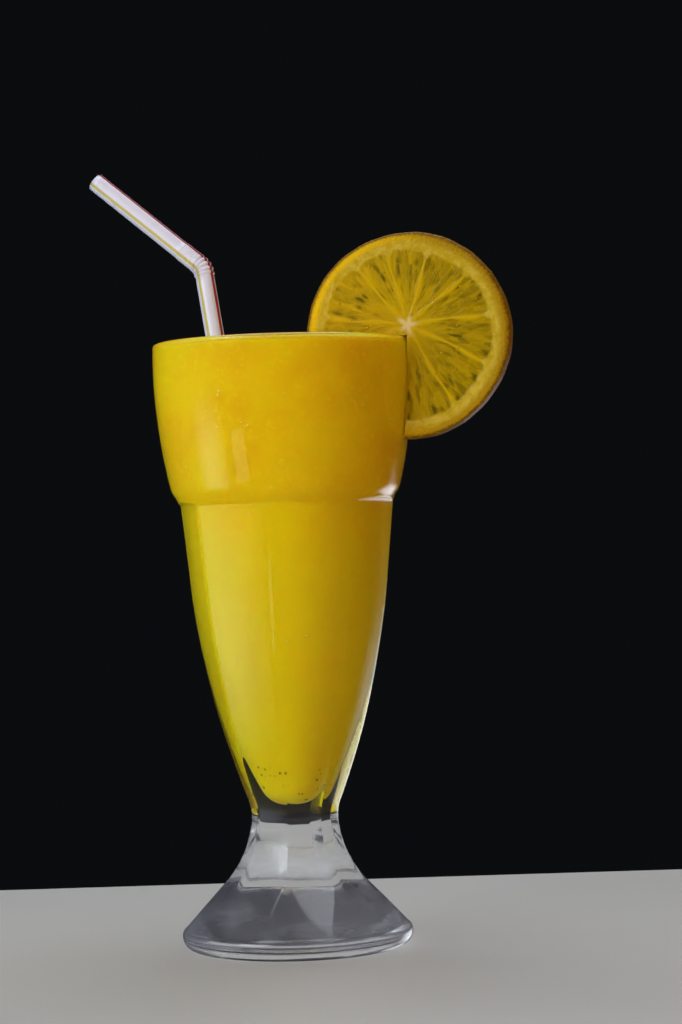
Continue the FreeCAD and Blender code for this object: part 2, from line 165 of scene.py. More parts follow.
def make_board():
    finish, place = new_finish("board_paint")
    tone = place.noise(9.0).blend(linear(*BOARD_DARK), linear(*BOARD_PALE))
    grain = place.noise(700.0)
    relief = place.node("ShaderNodeBump", None, {"Strength": 0.1, "Distance": 0.0002, "Height": grain})
    show(place.node("ShaderNodeBsdfPrincipled", None,
                    {"Base Color": tone, "Roughness": 0.5 + grain * 0.15, "Normal": relief}))
    outline = []
    centre_x = BOARD_HALF_WIDTH - BOARD_CORNER
    corners = [(centre_x, BOARD_BACK - BOARD_CORNER, 0), (-centre_x, BOARD_BACK - BOARD_CORNER, 90),
               (-centre_x, BOARD_FRONT + BOARD_CORNER, 180), (centre_x, BOARD_FRONT + BOARD_CORNER, 270)]
    for x, y, first in corners:
        for angle in np.radians(np.linspace(first, first + 90, CORNER_PIECES)):
            outline.append((x, y, math.cos(angle), math.sin(angle)))
    outline = np.array(outline)
    rows = []
    for angle in np.radians(np.linspace(90, 0, ROUND_PIECES)):
        reach = BOARD_CORNER - BOARD_ROUND * (1 - math.cos(angle))
        drop = BOARD_ROUND * (1 - math.sin(angle)) + BOARD_GAP
        edge = outline[:, :2] + reach * outline[:, 2:]
        rows.append(np.column_stack([edge, np.full(len(outline), -drop)]))
    rows.append(rows[-1] - [0, 0, BOARD_THICKNESS])
    count = len(outline)
    faces = ring_faces(len(rows), count)[:, ::-1].tolist() + [tuple(range(count))]
    board = plain_object("board", np.concatenate(rows), faces)
    board.data.polygons[len(faces) - 1].use_smooth = False
    board.data.materials.append(finish)
    board.visible_glossy = False


def ring_faces(rows, columns):
    """Quads between rows of points that close on themselves."""
    row, column = np.meshgrid(np.arange(rows - 1), np.arange(columns), indexing="ij")
    here = row * columns + column
    beside = row * columns + (column + 1) % columns
    return np.stack([here, beside, beside + columns, here + columns], -1).reshape(-1, 4)


def soft_box(name, place, size, brightness, tint, reaches, soft_edge):
    """Area light at a place in metres, turned towards the glass and not itself in view.

    reaches names the ways in which it acts: it may light surfaces (diffuse), be mirrored in them
    (glossy) or shine through glass (transmission).  soft_edge is the share of its width and height
    over which it fades out.
    """
    lamp = bpy.data.lights.new(name, "AREA")
    lamp.shape = "RECTANGLE"
    lamp.size = size[0]
    lamp.size_y = size[1]
    lamp.energy = brightness * math.pi * size[0] * size[1]
    lamp.color = tint
    if soft_edge:
        lamp.use_nodes = True
        lamp.node_tree.nodes.clear()
        across = Signal(lamp.node_tree).node("ShaderNodeNewGeometry", output="Parametric")
        strength = 1.0
        for axis in (0, 1):
            share = across.node("ShaderNodeSeparateXYZ", None, {0: across}, axis)
            strength = share.rise(0.0, soft_edge) * (1 - share).rise(0.0, soft_edge) * strength
        glow = across.node("ShaderNodeEmission", None, {"Strength": strength})
        across.node("ShaderNodeOutputLight", None, {"Surface": glow})
    holder = bpy.data.objects.new(name, lamp)
    bpy.context.scene.collection.objects.link(holder)
    holder.location = place
    holder.rotation_euler = (Vector(LAMP_AIM) - Vector(place)).to_track_quat("-Z", "Y").to_euler()
    holder.visible_camera = False
    holder.visible_diffuse = "diffuse" in reaches
    holder.visible_glossy = "glossy" in reaches
    holder.visible_transmission = "transmission" in reaches


make_board()
for lamp_facts in LAMPS:
    soft_box(*lamp_facts)
room = bpy.data.worlds.new("room")
bpy.context.scene.world = room
room.use_nodes = True
room.node_tree.nodes["Background"].inputs["Color"].default_value = ROOM_TONE
bpy.context.scene.view_settings.view_transform = "Standard"

# ------------------------------------------------------------------------------------ camera
# At the height of the middle of the glass, a little under its rim, with a short telephoto view.
CAMERA_DISTANCE = 850.0
CAMERA_HEIGHT = 130.0
CAMERA_PAN = math.radians(1.19)
CAMERA_PITCH = math.radians(0.643)
CAMERA_ROLL = math.radians(1.62)
CAMERA_LENS = 92.25
CAMERA_SENSOR = 36.0

lens = bpy.data.cameras.new("camera")
lens.lens = CAMERA_LENS
lens.sensor_width = CAMERA_SENSOR
camera = bpy.data.objects.new("camera", lens)
bpy.context.scene.collection.objects.link(camera)
camera.matrix_world = (
    Matrix.Translation((0, -CAMERA_DISTANCE * MM, CAMERA_HEIGHT * MM))
    @ Matrix.Rotation(-CAMERA_PAN, 4, "Z")
    @ Matrix.Rotation(math.radians(90) + CAMERA_PITCH, 4, "X")
    @ Matrix.Rotation(-CAMERA_ROLL, 4, "Z"))
bpy.context.scene.camera = camera

# ------------------------------------------------------------------------------------ glass
# Thick clear glass, pressed in a mould: a round flared bowl over an eight-sided body and stem that
# run out into a round foot.  The edges are soft from fire polishing, and two mould seams remain.
GLASS_HEIGHT = 195.0
RIM_RADIUS = 41.9
RIM_WALL = 2.4
RIM_ROUND = 1.1
RIM_LOW = 188.0
BORE_RADIUS = RIM_RADIUS - RIM_WALL
RIM_EDGE = GLASS_HEIGHT - RIM_ROUND
CAVITY_FLOOR = 47.8
FOOT_RADIUS = 37.2

# Corners of the section: (radius, height, radius of the curve that reaches it, side that the
# curve bulges to, pieces).  A curve of 0 is a straight line; side 1 is left of the way, -1 right.
FOOT_TOP = (22.7, 21.2, 0, 0, 30)
STEM_LOW = (14.2, 40.0, 33.4, 1, 24)
STEM_HIGH = (15.1, 47.0, 14.8, 1, 12)
BODY_HIGH = (31.9, 114.5, 272.0, -1, 60)
SHOULDER = (34.8, 143.0, 0, 0, 30)
GLASS_OUTSIDE = [
    (0.0, 0.0), (33.0, 0.0, 0, 0, 8), (FOOT_RADIUS, 4.2, 4.2, -1, 12), (36.0, 6.6, 2.4, -1, 8),
    FOOT_TOP, STEM_LOW, STEM_HIGH, BODY_HIGH, SHOULDER, (35.8, 145.55, 5.1, 1, 12),
    (37.1, 148.1, 7.1, -1, 12), (RIM_RADIUS, RIM_LOW, 160.0, -1, 34), (RIM_RADIUS, RIM_EDGE, 0, 0, 5),
    (RIM_RADIUS - RIM_ROUND, GLASS_HEIGHT, RIM_ROUND, -1, 7)]
GLASS_INSIDE = [
    (BORE_RADIUS + RIM_ROUND, GLASS_HEIGHT), (BORE_RADIUS, RIM_EDGE, RIM_ROUND, -1, 7),
    (BORE_RADIUS, RIM_LOW, 0, 0, 5), (34.3, 148.9, 160.0, 1, 34), (31.5, 144.4, 8.7, 1, 12),
    (29.88, 141.0, 4.6, -1, 10), (23.58, 96.3, 193.0, 1, 32), (7.6, 52.6, 247.0, 1, 36),
    (0.0, CAVITY_FLOOR, 8.417, 1, 16)]

FACETS = 8
FACET_STEP = 360.0 / FACETS
FACET_TURN = 13.5
# How near to the axis a flat lies, as a share of the round section: it just spares the corners.
FACET_SHARE = math.cos(math.radians(FACET_STEP / 2 - 1))
FACET_FOOT = (34.9, 8.0)
FACET_FOOT_SHARE = 0.945
FACET_LEDGE_SLOPE = math.tan(math.radians(23.0))
FACET_LEDGE_RUN = 8.0
NO_FACET = 90.0
FACET_CROWN = 0.4
FACET_CROWN_HEIGHT = 80.0
EDGE_SOFTNESS = 0.13
SEAM_HEIGHT = 0.08
SEAM_WIDTH = 0.4
SEAM_LOW = 12.0
SEAM_TOP = 190.0
MOULD_JOINT = 109.0
POLISH_WAVE = 0.035
POLISH_LOW = 8.0
POLISH_TOP = 194.0
# Columns of the mesh, in degrees from a corner towards a facet's middle, closer at the corner.
COLUMN_STEPS = [0, 0.35, 0.7, 1.1, 1.6, 2.3, 3.4, 5, 7.5, 10, 12.5, 15, 17.5, 20]


def trace(corners):
    """Points along an outline of straight lines and curves."""
    points = [np.array(corners[0][:2], float)]
    for corner in corners[1:]:
        start = points[-1]
        end = np.array(corner[:2], float)
        curve, side, pieces = corner[2:]
        share = np.linspace(0, 1, pieces + 1)[1:, None]
        if curve == 0:
            points.extend(start + (end - start) * share)
            continue
        chord = end - start
        length = np.hypot(*chord)
        left = np.array([-chord[1], chord[0]]) / length
        centre = (start + end) / 2 - left * side * math.sqrt(curve ** 2 - length ** 2 / 4)
        first = math.atan2(*(start - centre)[::-1])
        turn = -side * 2 * math.asin(length / 2 / curve)
        angles = first + turn * share
        points.extend(centre + curve * np.hstack([np.cos(angles), np.sin(angles)]))
    return np.array(points)


def flattened(corner, share):
    """The same corner of the section, drawn in to a share of its radius for the facets."""
    radius, height, curve, side, pieces = corner
    return radius * share, height, curve / share, side, pieces


def glass_shape():
    """Vertices and faces of the glass, row by row from under the foot over the rim to the floor."""
    outside = trace(GLASS_OUTSIDE)
    inside = trace(GLASS_INSIDE)
    steps = np.array(COLUMN_STEPS)
    offsets = np.concatenate([steps, [FACET_STEP / 2], (FACET_STEP - steps[1:])[::-1]])
    corner = FACET_TURN + FACET_STEP / 2
    turns = np.radians(np.concatenate([corner + FACET_STEP * k + offsets for k in range(FACETS)]))
    half = math.pi / FACETS
    from_middle = (turns - math.radians(FACET_TURN) + half) % (2 * half) - half

    line = trace([FACET_FOOT, flattened(FOOT_TOP, FACET_FOOT_SHARE)] + [
        flattened(point, FACET_SHARE) for point in (STEM_LOW, STEM_HIGH, BODY_HIGH, SHOULDER)])
    ledge_top = line[-1] + FACET_LEDGE_RUN * np.array([1, FACET_LEDGE_SLOPE])
    flat = np.interp(outside[:, 1], np.append(line[:, 1], ledge_top[1]),
                     np.append(line[:, 0], ledge_top[0]), left=NO_FACET, right=NO_FACET)
    round_part = outside[:, :1] + 0 * turns
    crown = FACET_CROWN * np.clip(outside[:, 1:] / FACET_CROWN_HEIGHT, 0, 1)
    flat_part = flat[:, None] / np.cos(from_middle) + crown * (1 - (from_middle / half) ** 2)
    nearer = np.minimum(round_part, flat_part)
    gap = np.abs(round_part - flat_part)
    radius = nearer - EDGE_SOFTNESS * np.log1p(np.exp(-gap / EDGE_SOFTNESS))
    radius = np.where(outside[:, :1] > 1, radius, outside[:, :1])

    height = outside[:, 1:]
    seam = np.zeros_like(radius)
    for side in (corner - 3 * FACET_STEP, corner + FACET_STEP):
        away = (turns - math.radians(side) + math.pi) % (2 * math.pi) - math.pi
        seam += np.exp(-((away * radius) / SEAM_WIDTH) ** 2)
    seam *= SEAM_HEIGHT * (height > SEAM_LOW) * (height < SEAM_TOP)
    mould_line = SEAM_HEIGHT * np.exp(-((height - MOULD_JOINT) / SEAM_WIDTH) ** 2)
    wave = (np.sin(3 * turns + height / 9 + 1) + np.sin(5 * turns - height / 14)
            + np.sin(height / 6 + 2 * turns + 2))
    fade_in = np.clip((height - POLISH_LOW) / 10, 0, 1)
    fade_out = np.clip((POLISH_TOP - height) / 6, 0, 1)
    swell = POLISH_WAVE * wave * fade_in * fade_out
    radius = radius + seam + mould_line + swell

    rows = [np.stack([radius * np.cos(turns), radius * np.sin(turns), height + 0 * radius], -1)[1:]]
    inner = inside[:-1, :1] + 0 * turns
    inner_height = inside[:-1, 1:]
    polished = (inner_height < RIM_LOW) * (inner > 12)
    inner = inner + POLISH_WAVE * np.sin(2 * turns + inner_height / 11) * polished
    rows.append(np.stack([inner * np.cos(turns), inner * np.sin(turns), inner_height + 0 * inner], -1))
    rows = np.concatenate(rows)
    count = len(turns)
    vertices = np.concatenate([rows.reshape(-1, 3), [[0, 0, 0], [0, 0, inside[-1, 1]]]])
    faces = ring_faces(len(rows), count).tolist()
    under = len(vertices) - 2
    floor = len(vertices) - 1
    last = (len(rows) - 1) * count
    faces += [(under, (i + 1) % count, i) for i in range(count)]
    faces += [(floor, last + i, last + (i + 1) % count) for i in range(count)]
    return vertices, faces


def glass_finish():
    """Clear glass with faint smears and a slight bloom on the foot; lamps shine through it."""
    finish, place = new_finish("clear_glass")
    relief = place.node("ShaderNodeBump", None, {
        "Strength": 0.12, "Distance": 0.0003, "Height": place.noise(140.0, 2.0)})
    smear = place.noise(38.0, 5.0, 0.65).rise(0.42, 0.75)
    foot = 1 - place.node("ShaderNodeSeparateXYZ", None, {0: place}, 2).rise(0.015, 0.06)
    body = place.node("ShaderNodeBsdfPrincipled", None, {
        "Base Color": (0.975, 0.982, 0.99, 1), "Transmission Weight": 0.996, "IOR": 1.5,
        "Roughness": 0.012 + smear * 0.05 + foot * 0.07, "Normal": relief})
    bloom = place.node("ShaderNodeBsdfDiffuse", None, {"Color": (0.72, 0.74, 0.9, 1), "Normal": relief})
    hazy = place.node("ShaderNodeMixShader", None, {0: foot * (0.03 + smear * 0.1), 1: body, 2: bloom})
    lamp_ray = place.node("ShaderNodeLightPath", output="Is Shadow Ray")
    veil = place.node("ShaderNodeBsdfTransparent", None, {"Color": (0.9, 0.91, 0.9, 1)})
    show(place.node("ShaderNodeMixShader", None, {0: lamp_ray, 1: hazy, 2: veil}))
    return finish


glass = plain_object("glass_body", *glass_shape())
glass.data.materials.append(glass_finish())
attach(glass, "root")
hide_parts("glass")

# ------------------------------------------------------------------------------------ juice
# Cloudy juice that fills the glass to just under its rim.  It reaches just into the wall, so no
# air shows between them, and a film of it clings to the wall above.  Fine pulp floats up in it,
# so the upper part is deeper in colour, and a thin froth lies on top.
WALL_REACH = 0.12
LEVEL = 193.1
FILM_TOP = 1.0
FILM_WIDTH = 1.2
RIPPLE_HEIGHT = 0.04
SURFACE_LIFT = 0.1
CALM_WIDTH = 3.0
JUICE_COLUMNS = 256
FIRST_RING = 0.6
EDGE_BAND = 4.0


def ripples(x, y, seed, waves=28, finest=3.5, coarsest=14.0):
    """Even bumps over the plane, about -1 to 1, made of waves in all directions."""
    dice = np.random.default_rng(seed)
    total = 0
    for _ in range(waves):
        heading = dice.uniform(0, 2 * math.pi)
        length = dice.uniform(finest, coarsest)
        start = dice.uniform(0, 2 * math.pi)
        along = x * math.cos(heading) + y * math.sin(heading)
        total = total + np.sin(along * 2 * math.pi / length + start)
    return total / math.sqrt(waves)


def juice_top(x, y):
    """Height of the drink's surface at a place across the glass."""
    out = np.hypot(x, y)
    edge = BORE_RADIUS + WALL_REACH
    film = FILM_TOP * np.exp((np.minimum(out, edge) - edge) / FILM_WIDTH)
    calm = np.clip((edge - out) / CALM_WIDTH, 0, 1)
    return LEVEL + film + (RIPPLE_HEIGHT * ripples(x, y, 5) + SURFACE_LIFT) * calm


def juice_shape():
    """Vertices and faces of the drink, from the middle of its surface down to the floor."""
    wall = trace(GLASS_INSIDE)
    wall = wall[wall[:, 1] < LEVEL + FILM_TOP - 0.3]
    turns = np.linspace(0, 2 * math.pi, JUICE_COLUMNS, endpoint=False)
    edge = BORE_RADIUS + WALL_REACH
    across = np.concatenate([np.linspace(FIRST_RING, edge - EDGE_BAND, 90),
                             np.linspace(edge - EDGE_BAND + 0.2, edge, 30)])[:, None]
    x = across * np.cos(turns)
    y = across * np.sin(turns)
    surface = np.stack([x, y, juice_top(x, y)], -1)
    reach = wall[:-1, :1] + WALL_REACH
    side = np.stack([reach * np.cos(turns), reach * np.sin(turns), wall[:-1, 1:] + 0 * turns], -1)
    rows = np.concatenate([surface, side])
    middle_height = juice_top(np.zeros(1), np.zeros(1))[0]
    centres = [[0, 0, middle_height], [0, 0, wall[-1, 1] - WALL_REACH]]
    vertices = np.concatenate([rows.reshape(-1, 3), centres])
    middle = len(vertices) - 2
    last = (len(rows) - 1) * JUICE_COLUMNS
    faces = ring_faces(len(rows), JUICE_COLUMNS)[:, ::-1].tolist()
    faces += [(middle, i, (i + 1) % JUICE_COLUMNS) for i in range(JUICE_COLUMNS)]
    faces += [(middle + 1, last + (i + 1) % JUICE_COLUMNS, last + i) for i in range(JUICE_COLUMNS)]
    return vertices, faces


def juice_finish():
    """Cloudy juice that light enters: mottled and flecked with pulp, frothy where it faces up."""
    finish, place = new_finish("cloudy_juice")
    height = place.node("ShaderNodeSeparateXYZ", None, {0: place}, 2)
    cloud = place.noise(38.0, 5.0, 0.6)
    patch = place.noise(95.0, 4.0, 0.6)
    grain = place.noise(620.0, 3.0, 0.7)
    upper = height.rise(0.115, 0.165)
    plain = upper.blend(linear(230, 212, 4), linear(238, 212, 2))
    mottled = (cloud.rise(0.42, 0.66) * (0.15 + upper * 0.6)).blend(plain, linear(234, 192, 0))
    clouded = (patch.rise(0.5, 0.7) * (0.2 + upper * 0.3)).blend(mottled, linear(242, 212, 6))
    facing_up = place.node("ShaderNodeSeparateXYZ", None, {
        0: place.node("ShaderNodeNewGeometry", output="Normal")}, 2)
    surface = facing_up.rise(0.5, 0.9)
    frothy = (surface * patch.rise(0.38, 0.6) * 0.7).blend(clouded, linear(250, 212, 50))
    flecks = grain.rise(0.55, 0.7) * (0.2 + upper * 0.6)
    speckled = flecks.blend(frothy, linear(252, 220, 8))
    tone = height.rise(0.1930, 0.1937).blend(speckled, linear(250, 176, 0))
    relief = place.node("ShaderNodeBump", None, {"Strength": 0.25, "Distance": 0.0002, "Height": grain})
    show(place.node("ShaderNodeBsdfPrincipled", None, {
        "Base Color": tone, "Roughness": 0.35, "IOR": 1.34, "Normal": relief,
        "Specular IOR Level": 0.15, "Coat Weight": surface * 0.45, "Coat Roughness": 0.22,
        "Subsurface Weight": 0.92, "Subsurface Radius": (1.0, 0.5, 0.03), "Subsurface Scale": 0.008}))
    return finish


juice = plain_object("juice_fill", *juice_shape())
juice.data.materials.append(juice_finish())
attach(juice, "root")
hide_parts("juice")

# ------------------------------------------------------------------------------------ bubbles
# Air beaten into the juice: small round bubbles lie in the froth, most of them along the wall and
# round the straw, and a few cling to the inside of the glass, thickest above its floor.
TOP_BUBBLES = 300
WALL_BUBBLES = 150
FLOOR_BUBBLES = 70
BUBBLE_SIDES = 10
# Latitudes of the rings that make one bubble, in degrees.
BUBBLE_TILTS = [60, 25, -25, -60]
# Most froth gathers within a few millimetres of the wall.
FROTH_REACH = 38.9
FROTH_SPREAD = 2.6
FROTH_SHARE_AT_WALL = 0.8
FROTH_CLEAR = 38.6
SMALLEST_WALL_BUBBLE = 0.12


def domes(centres, outwards, sizes, flatness):
    """One mesh of closed lens shapes at centres, each flattened along its outward direction."""
    around = np.linspace(0, 2 * math.pi, BUBBLE_SIDES, endpoint=False)
    tilts = np.radians(BUBBLE_TILTS)
    vertices = []
    faces = []
    for centre, outward, size in zip(centres, outwards, sizes):
        along = np.cross(outward, [0.3, 0.5, 0.81])
        along /= np.linalg.norm(along)
        beside = np.cross(outward, along)
        start = len(vertices)
        for tilt in tilts:
            ring = size * math.cos(tilt)
            lift = size * flatness * math.sin(tilt)
            vertices.extend(centre + ring * (math.cos(a) * along + math.sin(a) * beside) + lift * outward
                            for a in around)
        vertices.append(centre + size * flatness * outward)
        vertices.append(centre - size * flatness * outward)
        faces.extend((ring_faces(len(tilts), BUBBLE_SIDES)[:, ::-1] + start).tolist())
        top = start + len(tilts) * BUBBLE_SIDES
        low = top - BUBBLE_SIDES
        for i in range(BUBBLE_SIDES):
            beyond = (i + 1) % BUBBLE_SIDES
            faces.append((top, start + i, start + beyond))
            faces.append((top + 1, low + beyond, low + i))
    return vertices, faces


def bubble_finish(name, tint, painted_rim_sheen):
    """Shiny skin of a bubble or bead, with a painted sheen that turns it paler towards its edge as seen
    from the camera, and paler in fine random patches.
    """
    finish, place = new_finish(name)
    # Painted sheen: the colour moves to the pale rim colour where the surface turns edge-on to the view.
    facing = place.node("ShaderNodeLayerWeight", None, {"Blend": 0.4}, 1)
    tone = (facing * 0.8).blend(tint, painted_rim_sheen)
    show(place.node("ShaderNodeBsdfPrincipled", None, {
        "Base Color": (place.noise(900.0) * 0.3).blend(tone, painted_rim_sheen), "Roughness": 0.12,
        "IOR": 1.34, "Coat Weight": 0.5, "Coat Roughness": 0.05}))
    return finish


def top_bubbles():
    """Places, way up and sizes of the bubbles in the froth, with none on top of another."""
    dice = np.random.default_rng(31)
    centres = []
    sizes = []
    while len(centres) < TOP_BUBBLES:
        if dice.random() < FROTH_SHARE_AT_WALL:
            out = FROTH_REACH - abs(dice.normal(0, FROTH_SPREAD))
        else:
            out = (FROTH_REACH - 0.9) * math.sqrt(dice.random())
        turn = dice.uniform(0, 2 * math.pi)
        x = out * math.cos(turn)
        y = out * math.sin(turn)
        size = 0.35 + 1.0 * dice.random() ** 3
        crowded = any(math.hypot(x - c[0], y - c[1]) < 0.8 * (size + other)
                      for c, other in zip(centres, sizes))
        if crowded or out > FROTH_CLEAR - size:
            continue
        centres.append(np.array([x, y, float(juice_top(np.array([x]), np.array([y]))[0])]))
        sizes.append(size)
    return centres, [np.array([0, 0, 1.0])] * TOP_BUBBLES, sizes


def wall_bubbles(count, low, high, seed, largest):
    """Places on the drink's side between two heights, and the way out from the axis there."""
    dice = np.random.default_rng(seed)
    wall = trace(GLASS_INSIDE)[::-1]
    heights = dice.uniform(low, high, count)
    reach = np.interp(heights, wall[:, 1], wall[:, 0]) + WALL_REACH
    above = np.interp(heights + 0.5, wall[:, 1], wall[:, 0])
    slope = above - np.interp(heights - 0.5, wall[:, 1], wall[:, 0])
    turns = dice.uniform(0, 2 * math.pi, count)
    centres = np.stack([reach * np.cos(turns), reach * np.sin(turns), heights], -1)
    outwards = np.stack([np.cos(turns), np.sin(turns), -slope], -1)
    outwards /= np.linalg.norm(outwards, axis=1)[:, None]
    spread = largest - SMALLEST_WALL_BUBBLE
    return centres, outwards, SMALLEST_WALL_BUBBLE + spread * dice.random(count) ** 2


def merged(*groups):
    """Places, ways out and sizes of several groups as one."""
    return [np.concatenate(parts) for parts in zip(*groups)]


froth_bubbles = plain_object("froth_bubbles", *domes(*top_bubbles(), 0.75))
froth_bubbles.data.materials.append(
    bubble_finish("froth_skin", linear(238, 200, 24), linear(250, 228, 120)))
clinging = merged(wall_bubbles(WALL_BUBBLES, 90, 190, 41, 0.5), wall_bubbles(24, 56, 90, 43, 0.3))
pale_bubbles = plain_object("wall_bubbles", *domes(*clinging, 0.35))
pale_bubbles.data.materials.append(
    bubble_finish("bubble_skin", linear(250, 218, 80), linear(254, 238, 150)))
# The bubbles near the floor get darker colours: painted shade low in the glass.
near_floor = wall_bubbles(FLOOR_BUBBLES, 48.6, 60, 47, 0.62)
floor_bubbles = plain_object("floor_bubbles", *domes(*near_floor, 0.35))
floor_bubbles.data.materials.append(
    bubble_finish("floor_bubble_painted_shade", linear(120, 96, 6), linear(214, 190, 40)))
for piece in (froth_bubbles, pale_bubbles, floor_bubbles):
    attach(piece, "root")

# ------------------------------------------------------------------------------------ straw
# A thin white plastic tube with a yellow and a red stripe along it.  Its bend is rolled into
# bellows, its toe stands on the floor of the glass and its leg leans on the rim.
STRAW_RADIUS = 3.15
STRAW_WALL = 0.3
STRAW_HEADING = 126.5
STRAW_TOE_REACH = 4.4
STRAW_TOE_HEIGHT = 49.28
STRAW_REST = (BORE_RADIUS, RIM_EDGE)
STRAW_SEAT_GAP = 0.2
STRAW_OVER_RIM = 26.0
STRAW_BEND = math.radians(40.0)
STRAW_BEND_RADIUS = 6.5
STRAW_CORNER = 10.0 * math.tan(STRAW_BEND / 2)
STRAW_TWIST = 45.0
STRAW_ARM = 45.7
# The bellows are pulled open at the corner and pushed together on the arm beyond it.
OPEN_PITCH = 1.3
OPEN_DEPTH = 0.42
SHUT_PITCH = 0.85
SHUT_DEPTH = 0.14
SHUT_REACH = 6.8
SHUT_LIFT = 0.2
CUT_EDGE_ROUND = 0.06
STRAW_COLUMNS = 90
# Stripe edges, in degrees round the tube.
YELLOW_STRIPE = (47.0, 68.0)
RED_STRIPE = (141.0, 163.0)


def straw_frame():
    """Matrix of the straw's own frame, whose Z runs up the leg and whose bend turns towards X."""
    reach = STRAW_REST[0] - STRAW_TOE_REACH
    rise = STRAW_REST[1] - STRAW_TOE_HEIGHT
    lean = math.atan2(reach, rise) - math.asin(STRAW_SEAT_GAP / math.hypot(reach, rise))
    toe = STRAW_TOE_REACH - STRAW_RADIUS * math.cos(lean)
    height = STRAW_TOE_HEIGHT + STRAW_RADIUS * math.sin(lean)
    heading = math.radians(STRAW_HEADING)
    leg = math.hypot(reach, rise) + STRAW_OVER_RIM
    place = (Matrix.Translation((toe * math.cos(heading), toe * math.sin(heading), height))
             @ Matrix.Rotation(heading, 4, "Z") @ Matrix.Rotation(lean, 4, "Y")
             @ Matrix.Rotation(math.radians(STRAW_TWIST), 4, "Z"))
    return np.array(place), leg


def straw_shape():
    """Vertices and faces of the tube: outer wall from toe to tip, then the bore back to the toe."""
    place, leg = straw_frame()
    trimmed = STRAW_CORNER - STRAW_BEND_RADIUS * math.tan(STRAW_BEND / 2)
    leg += trimmed
    arc = STRAW_BEND_RADIUS * STRAW_BEND
    total = leg + arc + STRAW_ARM + trimmed
    first = leg - OPEN_PITCH * 0.6
    middle = leg + arc + OPEN_PITCH * 0.4
    last = middle + SHUT_REACH
    along = np.unique(np.round(np.concatenate([
        np.linspace(0, first, 60), np.arange(first, middle, OPEN_PITCH / 12),
        np.arange(middle, last, SHUT_PITCH / 8), np.linspace(last, total, 24)]), 4))
    open_fold = np.abs(((along - first) / OPEN_PITCH) % 1 - 0.5) * 2
    shut_fold = np.abs(((along - middle) / SHUT_PITCH) % 1 - 0.5) * 2
    is_open = (along > first) & (along < middle)
    is_shut = (along >= middle) & (along < last)
    outer = (STRAW_RADIUS + is_open * OPEN_DEPTH * (0.75 - 1.5 * open_fold ** 2)
             + is_shut * (SHUT_LIFT - SHUT_DEPTH * shut_fold))
    outer[[0, -1]] -= CUT_EDGE_ROUND
    along = np.concatenate([along, along[::-1]])
    radius = np.concatenate([outer, outer[::-1] - STRAW_WALL])

    turned = np.clip((along - leg) / STRAW_BEND_RADIUS, 0, STRAW_BEND)
    beyond = np.maximum(along - leg - arc, 0)
    middle_x = STRAW_BEND_RADIUS * (1 - np.cos(turned)) + beyond * math.sin(STRAW_BEND)
    middle_z = np.minimum(along, leg) + STRAW_BEND_RADIUS * np.sin(turned) + beyond * math.cos(STRAW_BEND)
    turns = np.linspace(0, 2 * math.pi, STRAW_COLUMNS, endpoint=False)
    across = radius[:, None] * np.cos(turns)
    points = np.stack([
        middle_x[:, None] + across * np.cos(turned)[:, None],
        radius[:, None] * np.sin(turns),
        middle_z[:, None] - across * np.sin(turned)[:, None],
        np.ones((len(along), STRAW_COLUMNS))], -1)
    vertices = (points.reshape(-1, 4) @ place.T)[:, :3]
    return vertices, (ring_faces(len(along) + 1, STRAW_COLUMNS) % len(vertices)).tolist()


def straw_finish(name, tint):
    """Smooth thin plastic in one tint, a little uneven."""
    finish, place = new_finish(name)
    haze = place.noise(220.0, 2.0)
    shade = haze.rise(0.3, 0.9).blend(tint, tuple(0.93 * c for c in tint[:3]) + (1.0,))
    show(place.node("ShaderNodeBsdfPrincipled", None, {
        "Base Color": shade, "Roughness": 0.24 + haze * 0.12, "IOR": 1.49}))
    return finish


straw = plain_object("straw_tube", *straw_shape())
straw.data.materials.append(straw_finish("straw_white", linear(232, 236, 254)))
straw.data.materials.append(straw_finish("straw_yellow", linear(214, 200, 110)))
straw.data.materials.append(straw_finish("straw_red", linear(176, 58, 66)))
for face in straw.data.polygons:
    degrees = (face.index % STRAW_COLUMNS + 0.5) * 360 / STRAW_COLUMNS
    if YELLOW_STRIPE[0] < degrees < YELLOW_STRIPE[1]:
        face.material_index = 1
    elif RED_STRIPE[0] < degrees < RED_STRIPE[1]:
        face.material_index = 2
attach(straw, "root")
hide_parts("straw")

# ------------------------------------------------------------------------------------ citrus slice
# A thick round cut of the fruit: shiny rind, pale spongy pith, thin membranes from the white core
# and juice sacs, with beads of juice on them.  A slot from its lower edge straddles the rim.
SLICE_OUT = 42.2
SLICE_UP = 195.2
SLICE_RADIUS = 33.4
SLICE_THICKNESS = 6.3
SLICE_HEADING = -15.0
SLICE_CORE = (0.3, 3.3)
RIND_WIDTH = 3.6
PITH_WIDTH = 2.7
RIND_ROUND = 1.0
MEMBRANE_ANGLES = [104, 71.6, 37.9, 5.4, -26.8, -61.7, -95, -128, -158, 173, 131]
MEMBRANE_HALF = 0.46
SAC_COUNT = 520
SAC_REACH = 31.0
SAC_STRETCH = 0.24
HOLLOW_TURNS = 20.0
HOLLOW_STRETCH = 0.35
FACE_LIFT = 0.1
SLOT_GAP = 0.3
SLOT_HALF = 8.0
RIM_PART = 150.0
BEAD_REACH = 25.5
BEAD_SINK = 0.08
SLICE_RINGS = 84
SLICE_COLUMNS = 420


